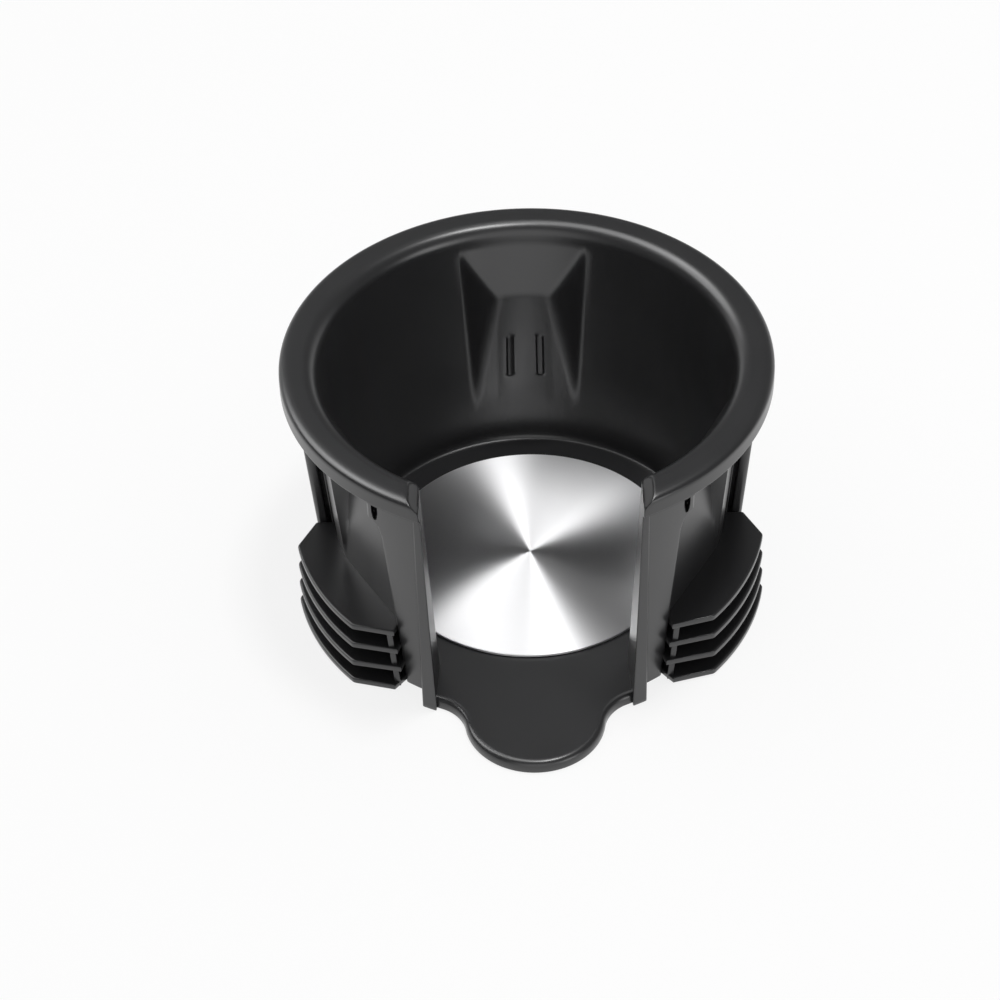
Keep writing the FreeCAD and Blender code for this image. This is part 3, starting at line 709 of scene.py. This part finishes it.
def makeFins():
    # Flat blades with a long curved outer edge, each a little wider than the one above. They are rooted in
    # the ear and inside the wall, where their edge follows the wall round.
    blades = []
    for level in range(fin["count"]):
        wider = fin["spread"] * level
        high = finTop - fin["pitch"] * level
        edge = float(earEdge(high))
        inEar = edge - fin["bite"]
        rootX = inEar - fin["bite"]
        frontOfEar = math.sqrt((outsideRadius(0.0) + ear["step"]) ** 2 - edge ** 2)
        (backX, backY), (tipX, tipY) = fin["back"], fin["tip"]
        (frontX, frontY), (endX, endY) = fin["front"], fin["end"]
        nearer = fin["endStep"] * level if level < fin["count"] - 1 else fin["lowestEnd"]
        corners = [
            (rootX, -math.sqrt(fin["root"] ** 2 - rootX ** 2), 0),
            (inEar, fin["bite"] - frontOfEar, 0),
            (max(edge, endX - nearer), -endY - wider, 0),
            (frontX + wider, -frontY - wider, fin["cornerRound"]),
            (tipX + wider, -tipY, fin["cornerRound"]),
            (backX + wider, -backY, fin["cornerRound"]),
            (math.sqrt(fin["root"] ** 2 - backY ** 2), -backY, 0),
        ]
        # the outer edge starts at corner 3, and the edge that follows the wall at corner 6
        outline = outlineOf(corners, {3: fin["arc"], 6: -fin["root"]})
        blades.append(plate(outline, high - fin["thickness"], high, fin["edgeRound"], fin["edgeRound"]))
    return blades


def makeWeb():
    # the upright web between the blades, parallel to the ear's edge and a little behind the blades' fronts
    loops = []
    farthest = earEdge(finTop) + web["gap"] + web["thickness"]
    inner = -math.sqrt(middleRadius(finTop) ** 2 - farthest ** 2) - web["sunk"]
    front = web["recess"] - fin["end"][1]
    for z in np.linspace(fin["low"] + web["margin"], finTop - web["margin"], web["rows"]):
        near = float(earEdge(z)) + web["gap"]
        far = near + web["thickness"]
        corners = [(near, inner, 0), (near, front, web["round"]), (far, front, web["round"]), (far, inner, 0)]
        outline = outlineOf(corners)
        loops.append(np.column_stack([outline, np.full(len(outline), z)]))
    return skin(np.stack(loops))


def makeRail():
    # in plan a pad on the wall, a neck and an outer strip, carried up along the wall's taper
    halfStrip, halfNeck, roll, front = rail["width"] / 2, rail["neck"] / 2, rail["round"], rail["frontRound"]
    heights = np.linspace(railFoot["rowsFrom"], cup["rimTop"] - cup["rimThickness"], railFoot["rows"])
    heights = np.concatenate([railFoot["heights"], heights])
    reaches = rail["reach"] + (heights - finTop) * math.tan(cup["taper"])
    reaches[:len(railFoot["drawnIn"])] -= railFoot["drawnIn"]
    loops = []
    for z, reach in zip(heights, reaches):
        behind, pad, root = reach - rail["strip"], outsideRadius(z) + rail["pad"], middleRadius(z)
        oneSide = [
            (root, halfStrip, 0), (pad, halfStrip, roll), (pad, halfNeck, 0),
            (behind, halfNeck, 0), (behind, halfStrip, roll), (reach, halfStrip, front),
        ]
        flat = outlineOf([(x, -y, rounding) for x, y, rounding in oneSide] + oneSide[::-1])
        flat[:, 0] -= reach - np.sqrt(reach ** 2 - flat[:, 1] ** 2)
        loops.append(np.column_stack([flat, np.full(len(flat), z)]))
    return skin(np.stack(loops))


# the disc and its film

disc = {"bevel": 0.12, "baseRound": 0.05, "flatFrom": 0.4, "innermost": 0.02, "rings": 40}
film = {"bulge": 0.04}


def turnedPiece(name, section, columns=256):
    # a closed solid from a section of (distance, height) pairs turned about the axis
    section = np.asarray(section, float)
    turn = np.linspace(0, 2 * math.pi, columns, endpoint=False)
    loops = np.stack([
        section[:, 0, None] * np.cos(turn)[None],
        section[:, 0, None] * np.sin(turn)[None],
        np.broadcast_to(section[:, 1, None], (len(section), columns)),
    ], axis=-1)
    return together(name, [skin(loops)])


def makeDisc():
    low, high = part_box("base_disc")
    radius, base, top = high.x / metre, low.z / metre, high.z / metre
    turned, bevel = disc["baseRound"], disc["bevel"]
    section = [(radius - turned, base), (radius, base + turned), (radius, top - bevel), (radius - bevel, top)]
    rings = np.linspace(radius - disc["flatFrom"], disc["innermost"], disc["rings"])
    return turnedPiece("baseDisc", section + [(distance, top) for distance in rings])


def makeFilm():
    low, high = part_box("disc_adhesive")
    radius, base, top = high.x / metre, low.z / metre, high.z / metre
    inside = radius - film["bulge"]
    return turnedPiece("discFilm", [(inside, base), (radius, (base + top) / 2), (inside, top)])


# finishes

def nodesOf(name):
    material = bpy.data.materials.new(name)
    material.use_nodes = True
    tree = material.node_tree
    shader = tree.nodes["Principled BSDF"]
    return material, tree, shader


def addNode(tree, kind, **settings):
    # a new node, each setting being one of its properties or the value of one of its inputs
    node = tree.nodes.new(kind)
    for key, value in settings.items():
        if hasattr(node, key):
            setattr(node, key, value)
        else:
            node.inputs[key].default_value = value
    return node


plastic = {
    "colour": (0.0175, 0.0175, 0.0185, 1),
    "specular": 0.62,
    "roughLow": 0.26,
    "roughHigh": 0.34,
    "grain": {"Scale": 5200.0, "Detail": 2.0, "Roughness": 0.6},
    "cloud": {"Scale": 90.0, "Detail": 3.0, "Roughness": 0.55},
    "relief": {"Strength": 0.35, "Distance": 0.00001},
}


def makePlastic():
    # black moulded plastic with a fine spark-eroded grain and slightly uneven gloss
    material, tree, shader = nodesOf("blackMoulding")
    links = tree.links
    where = addNode(tree, "ShaderNodeTexCoord")
    shader.inputs["Base Color"].default_value = plastic["colour"]
    shader.inputs["Specular IOR Level"].default_value = plastic["specular"]
    grain = addNode(tree, "ShaderNodeTexNoise", **plastic["grain"])
    cloud = addNode(tree, "ShaderNodeTexNoise", **plastic["cloud"])
    links.new(where.outputs["Object"], grain.inputs["Vector"])
    links.new(where.outputs["Object"], cloud.inputs["Vector"])
    gloss = addNode(tree, "ShaderNodeMapRange")
    gloss.inputs["To Min"].default_value = plastic["roughLow"]
    gloss.inputs["To Max"].default_value = plastic["roughHigh"]
    links.new(cloud.outputs["Fac"], gloss.inputs["Value"])
    links.new(gloss.outputs["Result"], shader.inputs["Roughness"])
    relief = addNode(tree, "ShaderNodeBump", **plastic["relief"])
    links.new(grain.outputs["Fac"], relief.inputs["Height"])
    links.new(relief.outputs["Normal"], shader.inputs["Normal"])
    return material


metal = {
    "colour": (0.88, 0.88, 0.89, 1),
    "rough": 0.34,
    "stretch": 0.92,
    "turn": 0.25,                        # a quarter turn, across the lines
    "lines": {"Scale": 2600.0, "Detail": 2.0},
    "relief": {"Strength": 0.25, "Distance": 0.00001},
}


def makeMetal():
    # turned aluminium: fine concentric lines, and gloss stretched across them
    material, tree, shader = nodesOf("turnedAluminium")
    links = tree.links
    where = addNode(tree, "ShaderNodeTexCoord")
    shader.inputs["Base Color"].default_value = metal["colour"]
    shader.inputs["Metallic"].default_value = 1.0
    shader.inputs["Roughness"].default_value = metal["rough"]
    shader.inputs["Anisotropic"].default_value = metal["stretch"]
    shader.inputs["Anisotropic Rotation"].default_value = metal["turn"]
    grainWay = addNode(tree, "ShaderNodeTangent", direction_type="RADIAL", axis="Z")
    links.new(grainWay.outputs["Tangent"], shader.inputs["Tangent"])
    # distance from the axis drives one-dimensional noise, so every line is a ring
    split = addNode(tree, "ShaderNodeSeparateXYZ")
    links.new(where.outputs["Object"], split.inputs["Vector"])
    flat = addNode(tree, "ShaderNodeCombineXYZ")
    links.new(split.outputs["X"], flat.inputs["X"])
    links.new(split.outputs["Y"], flat.inputs["Y"])
    distance = addNode(tree, "ShaderNodeVectorMath", operation="LENGTH")
    links.new(flat.outputs["Vector"], distance.inputs[0])
    rings = addNode(tree, "ShaderNodeTexNoise", noise_dimensions="1D", **metal["lines"])
    links.new(distance.outputs["Value"], rings.inputs["W"])
    relief = addNode(tree, "ShaderNodeBump", **metal["relief"])
    links.new(rings.outputs["Fac"], relief.inputs["Height"])
    links.new(relief.outputs["Normal"], shader.inputs["Normal"])
    return material


glue = {"dark": (0.04, 0.04, 0.04, 1), "light": (0.08, 0.08, 0.08, 1), "mottle": 900.0, "rough": 0.7}


def makeGlue():
    # dark adhesive with a faint mottle
    material, tree, shader = nodesOf("adhesiveFilm")
    where = addNode(tree, "ShaderNodeTexCoord")
    mottle = addNode(tree, "ShaderNodeTexNoise", Scale=glue["mottle"])
    tint = addNode(tree, "ShaderNodeValToRGB")
    tint.color_ramp.elements[0].color = glue["dark"]
    tint.color_ramp.elements[1].color = glue["light"]
    tree.links.new(where.outputs["Object"], mottle.inputs["Vector"])
    tree.links.new(mottle.outputs["Fac"], tint.inputs["Fac"])
    tree.links.new(tint.outputs["Color"], shader.inputs["Base Color"])
    shader.inputs["Roughness"].default_value = glue["rough"]
    return material


def finish(item, node, material):
    item.data.materials.append(material)
    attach(item, "root")
    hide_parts(node)


# build the pieces

sides = makeFins() + [makeWeb(), makeRail(), makeEar(), makePost()]
moulding = together("holderBody", [makeWall(), makeFloor()] + sides + [otherSide(part) for part in sides])
print("moulding:", sum(len(face.vertices) - 2 for face in moulding.data.polygons), "triangles")
finish(moulding, "holder_body", makePlastic())
finish(makeDisc(), "base_disc", makeMetal())
finish(makeFilm(), "disc_adhesive", makeGlue())
print("disc and film made")


# room, light and camera

room = {
    "floorSize": 3.0,
    "floorColour": (0.93, 0.93, 0.93, 1),
    "floorRough": 0.9,
    "white": 0.82,                       # share of plain white in the floor that the camera and gloss see
    "floorGlow": 1.2,                    # how bright that white is in glossy surfaces
    "sky": 0.6,
    "mirrored": 0.19,                    # the dim room between the soft boxes
}
softboxes = {                            # direction, strength, and the degrees at which light fades and ends
    "left": ((-0.60, 0.36, 0.71), 4.4, 15.0, 22.0),
    "above": ((-0.26, 0.24, 0.93), 4.0, 14.0, 21.0),
    "backLeft": ((-0.67, 0.74, 0.0), 0.8, 10.0, 30.0),
    "backRight": ((0.67, 0.74, 0.0), 0.8, 10.0, 30.0),
    "front": ((0.0, -0.95, 0.30), 1.2, 12.0, 42.0),
    "rightFront": ((0.71, -0.66, 0.24), 3.5, 7.0, 18.0),
}


def makeFloorStage():
    # a wide pale floor that takes soft shadows and shows white behind the object
    half = room["floorSize"] / 2
    mesh = bpy.data.meshes.new("studioFloor")
    spots = [(-half, -half, 0), (half, -half, 0), (half, half, 0), (-half, half, 0)]
    mesh.from_pydata(spots, [], [(0, 1, 2, 3)])
    ground = bpy.data.objects.new("studioFloor", mesh)
    bpy.context.scene.collection.objects.link(ground)
    material, tree, shader = nodesOf("paleFloor")
    shader.inputs["Base Color"].default_value = room["floorColour"]
    shader.inputs["Roughness"].default_value = room["floorRough"]
    glow = addNode(tree, "ShaderNodeEmission", Strength=1.0)
    path = addNode(tree, "ShaderNodeLightPath")
    seen = addNode(tree, "ShaderNodeMath", operation="MAXIMUM")
    tree.links.new(path.outputs["Is Camera Ray"], seen.inputs[0])
    tree.links.new(path.outputs["Is Glossy Ray"], seen.inputs[1])
    strength = addNode(tree, "ShaderNodeMapRange")
    strength.inputs["To Min"].default_value = 1.0
    strength.inputs["To Max"].default_value = room["floorGlow"]
    tree.links.new(path.outputs["Is Glossy Ray"], strength.inputs["Value"])
    tree.links.new(strength.outputs["Result"], glow.inputs["Strength"])
    share = addNode(tree, "ShaderNodeMath", operation="MULTIPLY")
    share.inputs[1].default_value = room["white"]
    mix = addNode(tree, "ShaderNodeMixShader")
    out = tree.nodes["Material Output"]
    tree.links.new(seen.outputs["Value"], share.inputs[0])
    tree.links.new(share.outputs["Value"], mix.inputs["Fac"])
    tree.links.new(shader.outputs["BSDF"], mix.inputs[1])
    tree.links.new(glow.outputs["Emission"], mix.inputs[2])
    tree.links.new(mix.outputs["Shader"], out.inputs["Surface"])
    mesh.materials.append(material)


def makeSky():
    # White to the camera and a plain level of soft light otherwise. Glossy surfaces mirror a dimmer room with
    # soft boxes, each a smooth fall from its middle: strength times smoothstep of the cosine to its middle.
    world = bpy.data.worlds.new("studio")
    bpy.context.scene.world = world
    world.use_nodes = True
    tree = world.node_tree
    links = tree.links
    plain = tree.nodes["Background"]
    where = addNode(tree, "ShaderNodeTexCoord")
    mirrored = None
    for direction, strength, full, last in softboxes.values():
        aim = addNode(tree, "ShaderNodeVectorMath", operation="DOT_PRODUCT")
        aim.inputs[1].default_value = unit(np.array(direction)).tolist()
        links.new(where.outputs["Generated"], aim.inputs[0])
        fall = addNode(tree, "ShaderNodeMapRange", interpolation_type="SMOOTHSTEP")
        fall.inputs["From Min"].default_value = math.cos(math.radians(last))
        fall.inputs["From Max"].default_value = math.cos(math.radians(full))
        fall.inputs["To Max"].default_value = strength
        links.new(aim.outputs["Value"], fall.inputs["Value"])
        total = addNode(tree, "ShaderNodeMath", operation="ADD")
        total.inputs[1].default_value = room["mirrored"]
        links.new(fall.outputs["Result"], total.inputs[0])
        if mirrored:
            links.new(mirrored, total.inputs[1])
        mirrored = total.outputs["Value"]
    path = addNode(tree, "ShaderNodeLightPath")
    chosen = addNode(tree, "ShaderNodeMix", data_type="FLOAT")
    chosen.inputs["A"].default_value = room["sky"]
    links.new(path.outputs["Is Glossy Ray"], chosen.inputs["Factor"])
    links.new(mirrored, chosen.inputs["B"])
    seen = addNode(tree, "ShaderNodeMix", data_type="FLOAT")
    seen.inputs["B"].default_value = 1.0
    links.new(path.outputs["Is Camera Ray"], seen.inputs["Factor"])
    links.new(chosen.outputs["Result"], seen.inputs["A"])
    plain.inputs["Color"].default_value = (1, 1, 1, 1)
    links.new(seen.outputs["Result"], plain.inputs["Strength"])


lamps = {
    "overhead": {"place": (0.13, 0.02, 0.90), "aim": (0, 0, 0.03), "size": 0.15, "power": 3.2},
}


def makeLamps():
    # square lamps, each turned so that it shines from its place to its aim
    for name, setting in lamps.items():
        light = bpy.data.lights.new(name, "AREA")
        light.shape = "SQUARE"
        light.size = setting["size"]
        light.energy = setting["power"]
        lamp = bpy.data.objects.new(name, light)
        bpy.context.scene.collection.objects.link(lamp)
        place, aim = np.array(setting["place"]), np.array(setting["aim"])
        away = unit(place - aim)
        side = unit(np.cross([0.0, 0.0, 1.0], away))
        axes = np.stack([side, np.cross(away, side), away], axis=1)
        lamp.matrix_world = Matrix.Translation(place) @ Matrix(axes.tolist()).to_4x4()


view = {
    "focal": 108.0,
    "sensor": 36.0,
    "pitch": 42.30,
    "yaw": -0.29,
    "roll": 1.64,
    "place": (-3.57, -443.40, 420.94),
}


def makeCamera():
    # the camera looks down by the pitch, turned by the yaw and rolled about its own line of sight
    pitch, yaw, roll = (math.radians(view[key]) for key in ("pitch", "yaw", "roll"))
    ahead = np.array([math.sin(yaw) * math.cos(pitch), math.cos(yaw) * math.cos(pitch), -math.sin(pitch)])
    level = unit(np.cross(ahead, [0.0, 0.0, 1.0]))
    down = np.cross(ahead, level)
    right = math.cos(roll) * level + math.sin(roll) * down
    down = -math.sin(roll) * level + math.cos(roll) * down
    data = bpy.data.cameras.new("photoCamera")
    data.lens = view["focal"]
    data.sensor_width = view["sensor"]
    data.clip_start = 0.01
    camera = bpy.data.objects.new("photoCamera", data)
    bpy.context.scene.collection.objects.link(camera)
    axes = Matrix(np.stack([right, -down, -ahead], axis=1).tolist()).to_4x4()
    camera.matrix_world = Matrix.Translation(np.array(view["place"]) * metre) @ axes
    bpy.context.scene.camera = camera


makeFloorStage()
makeSky()
makeLamps()
makeCamera()
bpy.context.scene.view_settings.view_transform = "Standard"
print("room, lamps and camera set")
